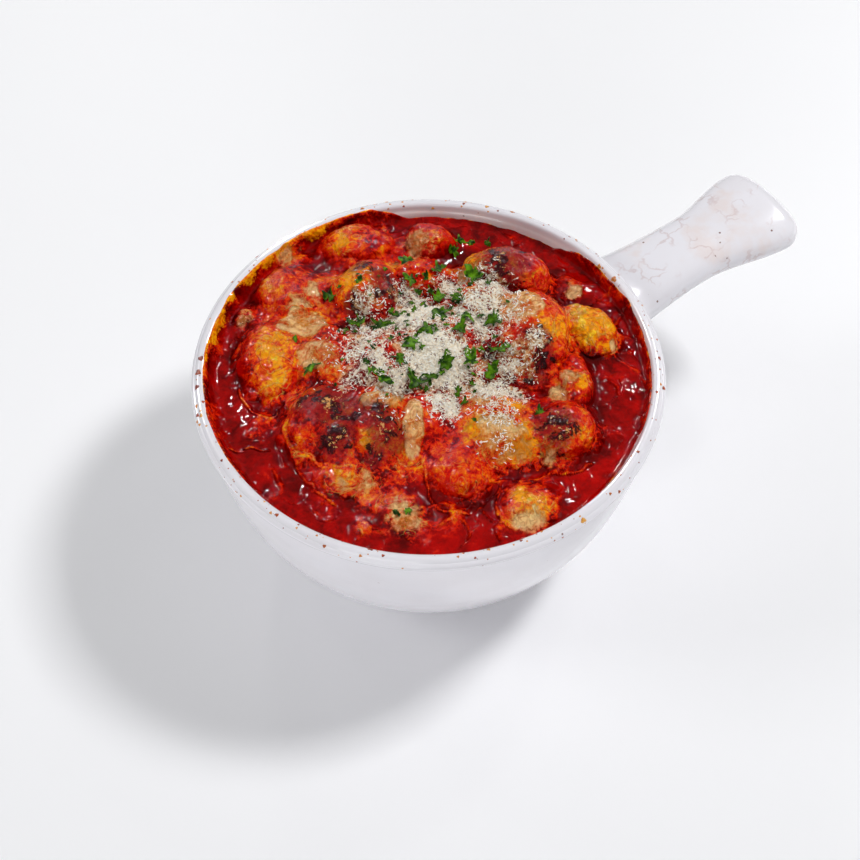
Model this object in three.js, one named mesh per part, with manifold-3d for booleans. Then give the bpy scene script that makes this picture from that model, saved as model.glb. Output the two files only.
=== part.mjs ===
// Baked potato gnocchi in tomato sauce, in the round handled bowl that they are served in.
// Millimetres, +Z up. The origin is the centre of the bowl's flat foot; the handle points along +X.
import * as THREE from 'three';
import { mergeVertices } from 'three/addons/utils/BufferGeometryUtils.js';
import Module from 'manifold-3d';

const wasm = await Module();
wasm.setup();

// ---- Driving dimensions -----------------------------------------------------------------------

const RIM_RADIUS = 68;          // outermost bead of the lip
const LIP_TOP = 64;             // height of the bowl
const LIP_INNER_RADIUS = 64.1;  // where the lip turns down into the bowl
const FOOT_RADIUS = 41;
const FLOOR_HEIGHT = 6;         // inside of the bowl above the table
const ROUND_STEPS = 36;         // facets round the bowl

const HANDLE_START = 60;        // inside the wall, before it is joined
const HANDLE_END = 131.5;
const HANDLE_WAIST = 98;        // narrowest place, from the bowl's axis
const HANDLE_WAIST_HALF_WIDTH = 11.5;
const HANDLE_ROOT_FLARE = 5.8;  // added to the half width where it meets the wall
const HANDLE_TAIL_FLARE = 4.6;  // added to the half width at the tail
const HANDLE_TAIL_ROUNDING = 5.5;

const SAUCE_LEVEL = 58.8;       // at the wall
const SAUCE_MOUND = 5.5;        // how much higher it stands under the heap
const SAUCE_MOUND_RADIUS = 50;
const SAUCE_STEPS = 32;         // facets round the sauce
const GAP = 0.3;                // between pieces that touch
const CHEESE_THICKNESS = 1.5;
const CHEESE_OUTLINE_SIDES = 10;

const GNOCCO_STEPS_ROUND = 11;
const GNOCCO_STEPS_TALL = 6;

// Each gnocco: place of its centre, height of its top, half length, half width, half height,
// and the angle of its length from +X in degrees.
const GNOCCHI = [
  ['left_large', -33.9, 29.6, 67, 15, 10.8, 8.2, 56],
  ['left_back', -16.3, 46.5, 68, 11.2, 10.4, 8.2, -34],
  ['back_left', 9.9, 53.3, 66, 12.1, 8, 8, -34],
  ['back_heap', 0.3, 33.4, 72, 10.6, 10, 7.8, -20],
  ['back', 29.1, 42.2, 65, 8.8, 7.2, 6.5, -40],
  ['back_heap_small', 16.3, 28.5, 70, 7.6, 6.6, 6, -34],
  ['back_right', 38.3, 15.9, 72, 13.6, 8.8, 9, -40],
  ['right_heap', 30.3, -7.7, 73, 15.2, 10.8, 8.4, 50],
  ['right_golden', 47.6, -13.2, 66, 10.6, 7.6, 7, -79],
  ['right_sunk', 55.4, 3.2, 59.6, 4.6, 3.4, 5, -60],
  ['right_front_small', 32, -26.6, 66, 10.6, 5.6, 6, 56],
  ['front_right_charred', 18.9, -39.2, 68, 9.8, 8.8, 7, -34],
  ['front_right', 4.1, -28.1, 70, 12.2, 10.8, 9, -34],
  ['front', -0.2, -50.9, 62, 8.6, 7.2, 6.3, -28],
  ['front_red', -13.2, -32.4, 66, 11, 9.6, 8.2, -50],
  ['front_left_cheesy', -32.5, -32.8, 62, 8.4, 7, 6, 50],
  ['left_front_charred', -24.2, -10.4, 70, 11.6, 9.8, 7.3, 62],
  ['left_charred', -35.3, 1.4, 69, 11.6, 9.8, 7.3, 48],
  ['left_front_low', -39.9, -17.4, 63, 9.8, 5.6, 7, -40],
  ['left_sunk', -31, 48.4, 61.2, 5.2, 3.8, 5.5, -20],
  ['left_front_sunk', -49.1, 10.5, 60.4, 5.8, 3.8, 5, -50],
  ['centre', 5.6, 4, 74, 11.6, 10.4, 8.6, -34],
  ['front_centre', -10.8, -15.6, 69, 10, 7.6, 6.4, 56],
  ['centre_left', -9.6, 5.5, 73, 10.4, 9.2, 7.8, -10],
  ['left_mid', -20.9, 19.8, 69, 10, 7.6, 6.4, 56],
  ['centre_right', 22.7, 6.8, 73, 8.4, 7.4, 6, 20],
  ['back_left_sunk', -8.3, 58.2, 61.4, 5.6, 3.6, 5, -34],
];

// Each melted patch of cheese: place of its centre, half length, half width, angle in degrees.
const CHEESE_PATCHES = [
  ['left', -21.5, 33.4, 6.6, 5.6, -44],
  ['left_low', -24.2, 17.4, 5.8, 6, 10],
  ['front_strip', -17.6, -18.2, 9.6, 3.2, 56],
  ['right', 29.5, -1.1, 8.4, 7, -34],
  ['front_right', 0.2, -35, 9.8, 6.6, -34],
  ['mid', -20.6, -5.6, 5.2, 3.2, -34],
];

// ---- Turning geometries into solids and back --------------------------------------------------

/** A closed three.js geometry as a solid: shared vertices merged, empty triangles dropped. */
function solidFrom(geometry) {
  geometry.deleteAttribute('normal');
  geometry.deleteAttribute('uv');
  const merged = mergeVertices(geometry, 1e-4);
  const index = merged.getIndex().array;
  const triangles = [];
  for (let i = 0; i < index.length; i += 3) {
    const [a, b, c] = [index[i], index[i + 1], index[i + 2]];
    if (a !== b && b !== c && c !== a) triangles.push(a, b, c);
  }
  const vertProperties = new Float32Array(merged.getAttribute('position').array);
  const triVerts = new Uint32Array(triangles);
  return new wasm.Manifold(new wasm.Mesh({ numProp: 3, vertProperties, triVerts }));
}

/** A solid as a three.js geometry. */
function geometryFrom(solid) {
  const mesh = solid.getMesh();
  const geometry = new THREE.BufferGeometry();
  geometry.setAttribute('position', new THREE.BufferAttribute(new Float32Array(mesh.vertProperties), 3));
  geometry.setIndex(new THREE.BufferAttribute(new Uint32Array(mesh.triVerts), 1));
  geometry.computeVertexNormals();
  return geometry;
}

function unionOf(solids) {
  return solids.reduce((whole, solid) => whole.add(solid));
}

/** Turns a profile of [radius, height] points, from axis to axis, round +Z. */
function turned(profile, steps) {
  const points = profile.map(([radius, height]) => new THREE.Vector2(radius, height));
  return solidFrom(new THREE.LatheGeometry(points, steps).rotateX(Math.PI / 2));
}

/** Points of a smooth curve through a few [radius, height] points. */
function smooth(points, count) {
  const curve = new THREE.SplineCurve(points.map(([radius, height]) => new THREE.Vector2(radius, height)));
  return curve.getPoints(count).map((point) => [point.x, point.y]);
}

function smoothstep(x) {
  const t = Math.min(Math.max(x, 0), 1);
  return t * t * (3 - 2 * t);
}

// ---- Bowl and handle --------------------------------------------------------------------------

/** Outside of the bowl: flat foot, round belly, undercut, outer bead, groove and rounded lip. */
function bowlOutside() {
  const belly = smooth([[FOOT_RADIUS, 2], [48.5, 10.5], [54.6, 18.5], [60.1, 29.8], [63.5, 42], [66.8, 59.6]], 7);
  const bead = [[67.6, 60.4], [RIM_RADIUS, 61.6], [67.5, 62.6]];
  const lip = [[66.8, 63.2], [66.1, 63.8], [65.3, LIP_TOP]];
  return turned([[0, 0], [FOOT_RADIUS - 1, 0], ...belly, ...bead, ...lip, [0, LIP_TOP]], ROUND_STEPS);
}

/** Inside of the wall, from the flat floor to just under the lip. */
const WALL_INSIDE = smooth([[30, FLOOR_HEIGHT], [43, 10.5], [50.2, 19.5], [55.8, 31], [59.4, 43], [62.9, 60]], 7);

/** The part of the inner wall below a height, drawn in by clearance, ending at exactly that height. */
function wallUpTo(height, clearance) {
  const above = WALL_INSIDE.findIndex((point) => point[1] >= height);
  const [lowRadius, lowHeight] = WALL_INSIDE[above - 1];
  const [highRadius, highHeight] = WALL_INSIDE[above];
  const share = (height - lowHeight) / (highHeight - lowHeight);
  const end = [lowRadius + share * (highRadius - lowRadius), height];
  return [...WALL_INSIDE.slice(0, above).map((point) => [point[0], point[1] + clearance]), end]
    .map((point) => [point[0] - clearance, point[1]]);
}

/** Space inside the bowl, drawn in by clearance, up to the given profile of the top. */
function bowlInside(clearance, top) {
  const wall = clearance > 0 ? wallUpTo(58, clearance) : WALL_INSIDE;
  return turned([[0, FLOOR_HEIGHT + clearance], ...wall, ...top], ROUND_STEPS);
}

/** Handle: rounded sections along +X, wide at the wall, narrow at the waist, wide at the tail. */
function handle() {
  const stations = [HANDLE_START, 66, 71, 77, 84, 92, 100, 108, 116, 123, 127.2, 129.6, 131, HANDLE_END];
  const around = 16;
  const squareness = 2 / 2.7;
  const ring = (x) => {
    const toWall = Math.min(Math.max((HANDLE_WAIST - x) / 28, 0), 1.15);
    const toTail = smoothstep((x - HANDLE_WAIST) / 28);
    const past = Math.max((x - (HANDLE_END - HANDLE_TAIL_ROUNDING)) / HANDLE_TAIL_ROUNDING, 0);
    const rounding = 1 - Math.sqrt(Math.max(1 - past * past, 0));
    const halfWidth = HANDLE_WAIST_HALF_WIDTH + HANDLE_ROOT_FLARE * toWall ** 2
      + HANDLE_TAIL_FLARE * toTail - 5 * rounding;
    const halfHeight = 6 + 1.4 * toWall ** 2 + 0.4 * toTail - 4.4 * rounding;
    const middle = 53 - 3 * Math.min(toWall, 1) + 1.4 * toTail;
    return Array.from({ length: around }, (_, i) => {
      const angle = (2 * Math.PI * i) / around;
      const across = Math.sign(Math.cos(angle)) * Math.abs(Math.cos(angle)) ** squareness * halfWidth;
      const up = Math.sign(Math.sin(angle)) * Math.abs(Math.sin(angle)) ** squareness * halfHeight;
      return [x - 0.006 * across * across * toTail, across, middle + up];
    });
  };
  const rings = stations.map(ring);
  const positions = rings.flat(2);
  const centre = (points) => [0, 1, 2].map((k) => points.reduce((sum, p) => sum + p[k], 0) / points.length);
  positions.push(...centre(rings[0]), ...centre(rings[rings.length - 1]));
  const first = rings.length * around;
  const last = first + 1;
  const index = [];
  for (let i = 0; i < around; i += 1) {
    const j = (i + 1) % around;
    for (let s = 0; s < rings.length - 1; s += 1) {
      const a = s * around;
      const b = a + around;
      index.push(a + i, a + j, b + i, a + j, b + j, b + i);
    }
    const end = (rings.length - 1) * around;
    index.push(first, j, i, last, end + i, end + j);
  }
  const geometry = new THREE.BufferGeometry();
  geometry.setAttribute('position', new THREE.BufferAttribute(new Float32Array(positions), 3));
  geometry.setIndex(index);
  return solidFrom(geometry);
}

function bowl() {
  const mouth = [[LIP_INNER_RADIUS, 63.2], [LIP_INNER_RADIUS + 0.5, 63.8], [65.3, LIP_TOP + 0.001],
    [65.3, LIP_TOP + 2], [0, LIP_TOP + 2]];
  return bowlOutside().add(handle()).subtract(bowlInside(0, mouth));
}

// ---- Gnocchi ----------------------------------------------------------------------------------

/** One gnocco, grown all round by extra: an uneven oval dumpling, its lumps set by its own seed. */
function gnocco([, x, y, top, halfLength, halfWidth, halfHeight, turn], seed, extra = 0) {
  const geometry = new THREE.SphereGeometry(1, GNOCCO_STEPS_ROUND, GNOCCO_STEPS_TALL).rotateX(Math.PI / 2);
  const position = geometry.getAttribute('position');
  const half = new THREE.Vector3(halfLength + extra, halfWidth + extra, halfHeight + extra);
  const point = new THREE.Vector3();
  for (let i = 0; i < position.count; i += 1) {
    point.fromBufferAttribute(position, i);
    const lump = 1 + 0.045 * Math.sin(2.3 * point.x + 1.7 * seed) + 0.04 * Math.sin(3.1 * point.y + 2.9 * seed)
      * Math.cos(2 * point.x + seed);
    point.multiply(half).multiplyScalar(lump);
    position.setXYZ(i, point.x, point.y, point.z);
  }
  geometry.rotateZ(THREE.MathUtils.degToRad(turn)).translate(x, y, top - halfHeight);
  return solidFrom(geometry);
}

// ---- Sauce ------------------------------------------------------------------------------------

/** Everything in the bowl under the sauce's top: level at the wall, a mound in the middle. */
function underSauce(raise) {
  const top = [SAUCE_MOUND_RADIUS, 38, 28, 14, 0].map((radius) => [radius,
    SAUCE_LEVEL + raise + SAUCE_MOUND * smoothstep(1 - radius / SAUCE_MOUND_RADIUS)]);
  const wall = wallUpTo(SAUCE_LEVEL, GAP);
  return turned([[0, FLOOR_HEIGHT + GAP], ...wall, ...top], SAUCE_STEPS);
}

// ---- Melted cheese ----------------------------------------------------------------------------

/** A tall oval post, which gives a patch of cheese its outline. */
function cheeseOutline([, x, y, halfLength, halfWidth, turn]) {
  const outline = new THREE.CylinderGeometry(1, 1, 40, CHEESE_OUTLINE_SIDES).rotateX(Math.PI / 2)
    .scale(halfLength, halfWidth, 1)
    .rotateZ(THREE.MathUtils.degToRad(turn))
    .translate(x, y, LIP_TOP + 10);
  return solidFrom(outline);
}

// ---- Assembly ---------------------------------------------------------------------------------

const MATERIALS = {
  bowl: new THREE.MeshStandardMaterial({ color: 0xe6e3e8, roughness: 0.18, metalness: 0 }),
  sauce: new THREE.MeshStandardMaterial({ color: 0x9b1206, roughness: 0.25, metalness: 0 }),
  gnocchi: new THREE.MeshStandardMaterial({ color: 0xc65a1c, roughness: 0.4, metalness: 0 }),
  cheese: new THREE.MeshStandardMaterial({ color: 0xd0a26a, roughness: 0.4, metalness: 0 }),
};

const food = new THREE.Group();

function addPiece(name, solid, material) {
  const mesh = new THREE.Mesh(geometryFrom(solid), material);
  mesh.name = name;
  food.add(mesh);
}

const bowlSolid = bowl();
addPiece('bowl', bowlSolid, MATERIALS.bowl);

const insideClear = bowlInside(GAP, [[61.9, 62], [61.9, 90], [0, 90]]);
let taken = null;
const placed = [];
GNOCCHI.forEach((row, i) => {
  const seed = i + 1;
  let solid = gnocco(row, seed).intersect(insideClear);
  if (taken) solid = solid.subtract(taken);
  const grown = gnocco(row, seed, GAP);
  taken = taken ? taken.add(grown) : grown;
  placed.push([row, seed]);
  addPiece(`gnocco_${row[0]}`, solid, MATERIALS.gnocchi);
});

addPiece('tomato_sauce', underSauce(0).subtract(taken), MATERIALS.sauce);

const cheeseUnder = taken.add(underSauce(GAP));
const cheeseOver = unionOf(placed.map(([row, seed]) => gnocco(row, seed, GAP + CHEESE_THICKNESS)))
  .add(underSauce(GAP + CHEESE_THICKNESS));
for (const patch of CHEESE_PATCHES) {
  addPiece(`mozzarella_${patch[0]}`, cheeseOver.intersect(cheeseOutline(patch)).subtract(cheeseUnder),
    MATERIALS.cheese);
}

export default food;
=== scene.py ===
"""Baked potato gnocchi in tomato sauce, served in a round glazed bowl with a stick handle.

The bowl stands on its foot with the handle along +X. Lengths are in millimetres until a mesh is made,
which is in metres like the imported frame. The sections follow the dish from the bowl up to the parsley
and the specks on the lip.
"""

import bpy
import numpy as np
from mathutils import Euler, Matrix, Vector


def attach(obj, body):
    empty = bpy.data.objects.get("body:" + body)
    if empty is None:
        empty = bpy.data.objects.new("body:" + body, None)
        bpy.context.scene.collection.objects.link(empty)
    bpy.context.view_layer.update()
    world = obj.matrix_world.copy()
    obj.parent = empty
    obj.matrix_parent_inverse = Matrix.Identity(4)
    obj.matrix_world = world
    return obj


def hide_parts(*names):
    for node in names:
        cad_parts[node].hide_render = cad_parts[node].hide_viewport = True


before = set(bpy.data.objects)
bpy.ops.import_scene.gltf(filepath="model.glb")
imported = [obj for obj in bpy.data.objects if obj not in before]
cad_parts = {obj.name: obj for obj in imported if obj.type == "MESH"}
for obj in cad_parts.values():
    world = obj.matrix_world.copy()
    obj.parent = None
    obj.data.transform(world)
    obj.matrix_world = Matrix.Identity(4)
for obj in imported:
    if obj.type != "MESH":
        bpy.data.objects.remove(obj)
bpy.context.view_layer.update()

# ---- Stage -----------------------------------------------------------------------------------
# A plain pale table in a pale room. A lamp high on the right casts the shadow, two wide soft ones fill
# it from the left and from low in front, and three small ones show only as glints on what is wet. The
# camera looks down into the bowl with the handle pointing away to the right.

MM = 0.001
RIM_HEIGHT = 61.8
CAMERA_TURN = np.radians(-34.2)
CAMERA_RISE = np.radians(52.885)
CAMERA_DISTANCE = 502.95
CAMERA_ASIDE = (0.38, -17.21)
LENS = 73.26

camera = bpy.data.objects.new("camera", bpy.data.cameras.new("camera"))
bpy.context.scene.collection.objects.link(camera)
bpy.context.scene.camera = camera
camera.data.lens = LENS
camera.data.clip_start = 0.01
camera.rotation_euler = Euler((np.pi / 2 - CAMERA_RISE, 0, CAMERA_TURN))
camera.location = Vector((0, 0, RIM_HEIGHT * MM)) + camera.rotation_euler.to_matrix() @ Vector(
    (CAMERA_ASIDE[0] * MM, CAMERA_ASIDE[1] * MM, CAMERA_DISTANCE * MM))


def soft_box(name, place, width, watts):
    """A square lamp of that width in metres at place, which faces the middle of the bowl."""
    lamp = bpy.data.objects.new(name, bpy.data.lights.new(name, "AREA"))
    lamp.data.shape = "SQUARE"
    lamp.data.size = width
    lamp.data.energy = watts
    lamp.location = place
    lamp.rotation_euler = (Vector((0, 0, 0.05)) - Vector(place)).to_track_quat("-Z", "Y").to_euler()
    bpy.context.scene.collection.objects.link(lamp)
    return lamp


GLINT_LAMPS = {"right": (0.75, 0.25, 0.80), "left": (-0.25, 0.80, 0.70), "back": (0.30, 0.95, 0.55)}

soft_box("key_light", (0.64, -0.14, 0.88), 0.20, 6.8).visible_glossy = False
soft_box("left_light", (-0.80, 0.50, 0.60), 0.40, 2.8).visible_glossy = False
soft_box("front_light", (-0.82, -0.62, 0.28), 0.60, 2.9)
for side, place in GLINT_LAMPS.items():
    soft_box("glint_" + side, place, 0.08, 6.0).visible_diffuse = False

world = bpy.data.worlds.new("pale_room")
world.use_nodes = True
walls = world.node_tree.nodes["Background"].inputs
walls["Color"].default_value = (0.98, 0.99, 1.0, 1)
walls["Strength"].default_value = 0.30
bpy.context.scene.world = world
bpy.context.scene.view_settings.view_transform = "Standard"


def put_mesh(name, points, quads=(), triangles=()):
    """An object from whole arrays: points in millimetres, and faces of four and of three corners."""
    mesh = bpy.data.meshes.new(name)
    faces = [np.asarray(f, np.int64).reshape(-1, n) for f, n in ((quads, 4), (triangles, 3))]
    sizes = np.concatenate([np.full(len(f), f.shape[1]) for f in faces])
    corners = np.concatenate([f.ravel() for f in faces])
    mesh.vertices.add(len(points))
    mesh.vertices.foreach_set("co", (np.asarray(points, float) * MM).ravel())
    mesh.loops.add(len(corners))
    mesh.loops.foreach_set("vertex_index", corners)
    mesh.polygons.add(len(sizes))
    mesh.polygons.foreach_set("loop_start", np.concatenate([[0], np.cumsum(sizes)[:-1]]))
    mesh.polygons.foreach_set("use_smooth", np.ones(len(sizes), bool))
    mesh.update(calc_edges=True)
    piece = bpy.data.objects.new(name, mesh)
    bpy.context.scene.collection.objects.link(piece)
    return piece


class Value:
    """A node's output that takes part in Python arithmetic: each operator adds its Math node."""

    def __init__(self, finish, socket):
        self.finish = finish
        self.socket = socket

    def math(self, operation, first, second):
        return self.finish.add("ShaderNodeMath", {"operation": operation}, {0: first, 1: second})

    def __add__(self, other):
        return self.math("ADD", self, other)

    def __sub__(self, other):
        return self.math("SUBTRACT", self, other)

    def __rsub__(self, other):
        return self.math("SUBTRACT", other, self)

    def __mul__(self, other):
        return self.math("MULTIPLY", self, other)

    def __truediv__(self, other):
        return self.math("DIVIDE", self, other)

    def __pow__(self, other):
        return self.math("POWER", self, other)

    __radd__ = __add__
    __rmul__ = __mul__

    def between(self, low, high):
        """0 below low, 1 above high, and a smooth rise between them."""
        return self.finish.add(
            "ShaderNodeMapRange", {"interpolation_type": "SMOOTHSTEP"}, {0: self, 1: low, 2: high})


class Finish:
    """A material being made round its Principled shader."""

    def __init__(self, name, **constants):
        self.material = bpy.data.materials.new(name)
        self.material.use_nodes = True
        self.tree = self.material.node_tree
        self.shader = self.tree.nodes["Principled BSDF"]
        for socket, value in constants.items():
            self.shader.inputs[socket.replace("_", " ")].default_value = value
        self.place = self.add("ShaderNodeTexCoord", {}, {}, "Object")

    def add(self, kind, settings, sockets, output=0):
        """Adds a node: its settings first, then a value or a link for each socket named."""
        node = self.tree.nodes.new(kind)
        for name, value in settings.items():
            setattr(node, name, value)
        for name, value in sockets.items():
            if isinstance(value, Value):
                self.tree.links.new(value.socket, node.inputs[name])
            else:
                node.inputs[name].default_value = value
        return Value(self, node.outputs[output])

    def noise(self, size_mm, detail, roughness=0.5, distortion=0.0):
        """Cloudy noise from 0 to 1 whose lumps are about that size."""
        return self.add(
            "ShaderNodeTexNoise", {},
            {"Vector": self.place, "Scale": 0.7 / (size_mm * MM), "Detail": detail,
             "Roughness": roughness, "Distortion": distortion})

    def painted(self, name):
        """A mask stored on the mesh."""
        return self.add("ShaderNodeAttribute", {"attribute_name": name}, {}, "Fac")

    def mix(self, factor, first, second):
        """The second colour over the first by factor."""
        return self.add(
            "ShaderNodeMix", {"data_type": "RGBA"}, {0: factor, 6: first, 7: second}, 2)

    def bump(self, height, distance_mm, strength):
        """Raises the surface by height times the distance."""
        return self.add(
            "ShaderNodeBump", {}, {"Height": height, "Distance": distance_mm * MM, "Strength": strength})

    def wear(self, **inputs):
        """Links values to the shader's own sockets."""
        for socket, value in inputs.items():
            self.tree.links.new(value.socket, self.shader.inputs[socket.replace("_", " ")])


def paint(red, green, blue):
    """A colour given as it is seen, from 0 to 255, as amounts of light."""
    seen = np.array([red, green, blue]) / 255
    light = np.where(seen < 0.04045, seen / 12.92, ((seen + 0.055) / 1.055) ** 2.4)
    return (*light, 1.0)


FLOOR_HALF_WIDTH = 3000
FLOOR_CORNERS = np.array([(-1, -1, 0), (1, -1, 0), (1, 1, 0), (-1, 1, 0)])
FLOOR_DROP = 0.1

floor = put_mesh("floor", FLOOR_HALF_WIDTH * FLOOR_CORNERS, [(0, 1, 2, 3)])
floor.location.z = -FLOOR_DROP * MM
floor_finish = Finish("pale_table", Base_Color=paint(246, 246, 248), Roughness=0.6)
floor.data.materials.append(floor_finish.material)

# ---- Bowl ------------------------------------------------------------------------------------
# A thrown stoneware bowl under a cool white gloss glaze: flat foot, round belly, undercut, thin outer
# bead and a rounded lip. The stick handle is pressed on with a fillet while the clay is wet.

BOWL_STEPS = 288
PER_SPAN = 7
OUTER_WALL = np.array([(41.1, 1.6), (42.0, 3.0), (44.8, 5.8), (49.2, 10.8), (54.8, 18.5), (60.2, 29.8),
                       (63.6, 42.0), (65.6, 52.0), (66.5, 58.4), (66.85, 59.9)])
LIP = np.array([(67.45, 60.4), (67.95, 61.4), (67.85, 62.3), (67.3, 62.85), (66.95, 63.0), (66.6, 63.45),
                (66.0, 63.9), (65.2, 64.0), (64.5, 63.75), (64.05, 63.1), (63.7, 61.8)])
INNER_WALL = np.array([(62.9, 60.0), (61.7, 54.0), (59.4, 43.0), (55.8, 31.0), (50.2, 19.5), (43.0, 10.5),
                       (36.0, 7.0), (28.0, 6.0)])


def curve_through(points, per_span):
    """A smooth line through the points: each span is the cubic that leaves a point towards the next but
    one, so its slope there is half the step between its neighbours."""
    points = np.asarray(points, float)
    ends = np.concatenate([2 * points[:1] - points[1:2], points, 2 * points[-1:] - points[-2:-1]])
    t = np.linspace(0, 1, per_span, endpoint=False)[None, :, None]
    a, b, c, d = (ends[i:len(ends) - 3 + i, None, :] for i in range(4))
    line = 0.5 * (2 * b + (c - a) * t + (2 * a - 5 * b + 4 * c - d) * t ** 2
                  + (3 * b - a - 3 * c + d) * t ** 3)
    return np.concatenate([line.reshape(-1, points.shape[1]), points[-1:]])


def full_turn(steps):
    """Angles once round in even steps."""
    return np.linspace(0, 2 * np.pi, steps, endpoint=False)


def skin(rows, flip=False):
    """Points and quads of rows that go round and close on themselves, with a fan over both ends."""
    count, around = rows.shape[:2]
    i, j = np.meshgrid(np.arange(count - 1), np.arange(around), indexing="ij")
    k = (j + 1) % around
    quads = np.stack([i * around + j, i * around + k, (i + 1) * around + k, (i + 1) * around + j], -1)
    quads = quads.reshape(-1, 4)
    points = np.concatenate([rows.reshape(-1, 3), rows[:1].mean(1), rows[-1:].mean(1)])
    j = np.arange(around)
    k = (j + 1) % around
    last = (count - 1) * around
    fans = np.concatenate([np.stack([k, j, np.full(around, count * around)], -1),
                           np.stack([last + j, last + k, np.full(around, count * around + 1)], -1)])
    if flip:
        return points, quads[:, ::-1], fans[:, ::-1]
    return points, quads, fans


LATTICE_LENGTH = 4096
LATTICE = np.random.default_rng(7).uniform(-1, 1, LATTICE_LENGTH)
LATTICE_PRIMES = (7919, 104729, 1299709)


def wobble(points, size, seed):
    """Smooth noise from -1 to 1: random values on a lattice of that size, blended by smooth steps.
    Each corner's value is drawn from the list by its cell numbers times three primes."""
    p = np.asarray(points, float) / size + 17.3 * seed
    cell = np.floor(p).astype(np.int64)
    t = p - cell
    t = t * t * (3 - 2 * t)
    total = 0
    for corner in np.ndindex(*(2,) * p.shape[-1]):
        key = ((cell + corner) * LATTICE_PRIMES[:p.shape[-1]]).sum(-1)
        weight = np.prod(np.where(corner, t, 1 - t), -1)
        total = total + weight * LATTICE[(key ^ (key >> 7)) % LATTICE_LENGTH]
    return total


profile = np.concatenate([[(30.0, 0.0), (38.0, 0.0), (40.2, 0.2)],
                          curve_through(np.concatenate([OUTER_WALL, LIP, INNER_WALL]), PER_SPAN)])
angles = full_turn(BOWL_STEPS)
round_way = np.stack([np.cos(angles), np.sin(angles)], -1)
unevenness = 0.12 * wobble(round_way * 2, 1.0, 3) * np.clip(profile[:, 1:] / 40, 0, 1)
bowl_rows = np.concatenate([
    round_way[None] * (profile[:, :1] + unevenness)[..., None],
    np.broadcast_to(profile[:, 1][:, None, None], (len(profile), BOWL_STEPS, 1))], -1)
bowl_points, bowl_quads, bowl_fans = skin(bowl_rows)

HANDLE_STEPS_ROUND = 96
HANDLE_START = 66.0
HANDLE_LENGTH = 65.6
HANDLE_MIDDLE_HEIGHT = 50.6
HANDLE_HALF_WIDTH = 11.4
HANDLE_HALF_HEIGHT = 6.0
HANDLE_TAPER = 30.0
HANDLE_ROOT_FILLET = 9.0
HANDLE_TAIL_FLARE = 4.7
HANDLE_TAIL_ROUNDING = 5.5
THUMB_DISH = 0.5


def ease(x):
    """0 below 0, 1 above 1, smooth between."""
    x = np.clip(x, 0, 1)
    return x * x * (3 - 2 * x)


def handle_section(out, around):
    """Points of the handle at a distance out from the wall. Each section is a rounded oblong. Towards the
    waist its half width shrinks as a square and its half height evenly. Both flare by a quarter round
    at the wall and by a smooth step at the tail, which ends in a quarter round and has a dished top.
    The first sections follow the round of the wall, and the later ones are straight."""
    root = np.clip(1 - out / HANDLE_ROOT_FILLET, 0, 1)
    fillet = 1 - np.sqrt(np.clip(1 - root ** 2, 0, 1))
    tail = ease((out - 32) / 28)
    past = np.clip((out - HANDLE_LENGTH + HANDLE_TAIL_ROUNDING) / HANDLE_TAIL_ROUNDING, 0, 1)
    rounding = 1 - np.sqrt(np.clip(1 - past ** 2, 0, 1))
    taper = np.clip(1 - out / HANDLE_TAPER, 0, 1)
    half_width = (HANDLE_HALF_WIDTH + 3.2 * taper ** 2 + 5.2 * fillet
                  + HANDLE_TAIL_FLARE * tail - 5.5 * rounding)
    half_height = HANDLE_HALF_HEIGHT + 0.6 * taper + 1.7 * fillet + 0.4 * tail - 4.6 * rounding
    middle = HANDLE_MIDDLE_HEIGHT + 2.6 * ease(out / 34) + 1.2 * tail
    squareness = 2 / 2.7
    across = np.sign(np.cos(around)) * np.abs(np.cos(around)) ** squareness * half_width
    up = np.sign(np.sin(around)) * np.abs(np.sin(around)) ** squareness * half_height
    hollow = THUMB_DISH * tail * np.clip(1 - (across / half_width) ** 2, 0, 1) * (up > 0)
    height = middle + up - hollow
    wall = np.interp(height, OUTER_WALL[:, 1], OUTER_WALL[:, 0])
    curved = np.sqrt(wall ** 2 - across ** 2) + out
    along = curved + (HANDLE_START + out - curved) * ease(out / 22)
    return np.stack([along - 0.006 * across ** 2 * tail, across, height], -1)


tail_outs = HANDLE_LENGTH - HANDLE_TAIL_ROUNDING * (1 - np.sin(np.linspace(0.1, np.pi / 2, 16)))
outs = np.concatenate([[-2.2, -1.2], np.linspace(0, 9, 19) ** 1.6 / 9 ** 0.6, np.linspace(10, 60, 51),
                       tail_outs])
arounds = full_turn(HANDLE_STEPS_ROUND)
handle_rows = np.stack([handle_section(out, arounds) for out in outs])
handle_points, handle_quads, handle_fans = skin(handle_rows)
shift = len(bowl_points)
bowl = put_mesh("glazed_bowl", np.concatenate([bowl_points, handle_points]),
                np.concatenate([bowl_quads, handle_quads + shift]),
                np.concatenate([bowl_fans, handle_fans + shift]))

STIR_SCALE = 160.0
CRACKLE_SCALE = 120.0
DOT_SCALE = 190.0

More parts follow.
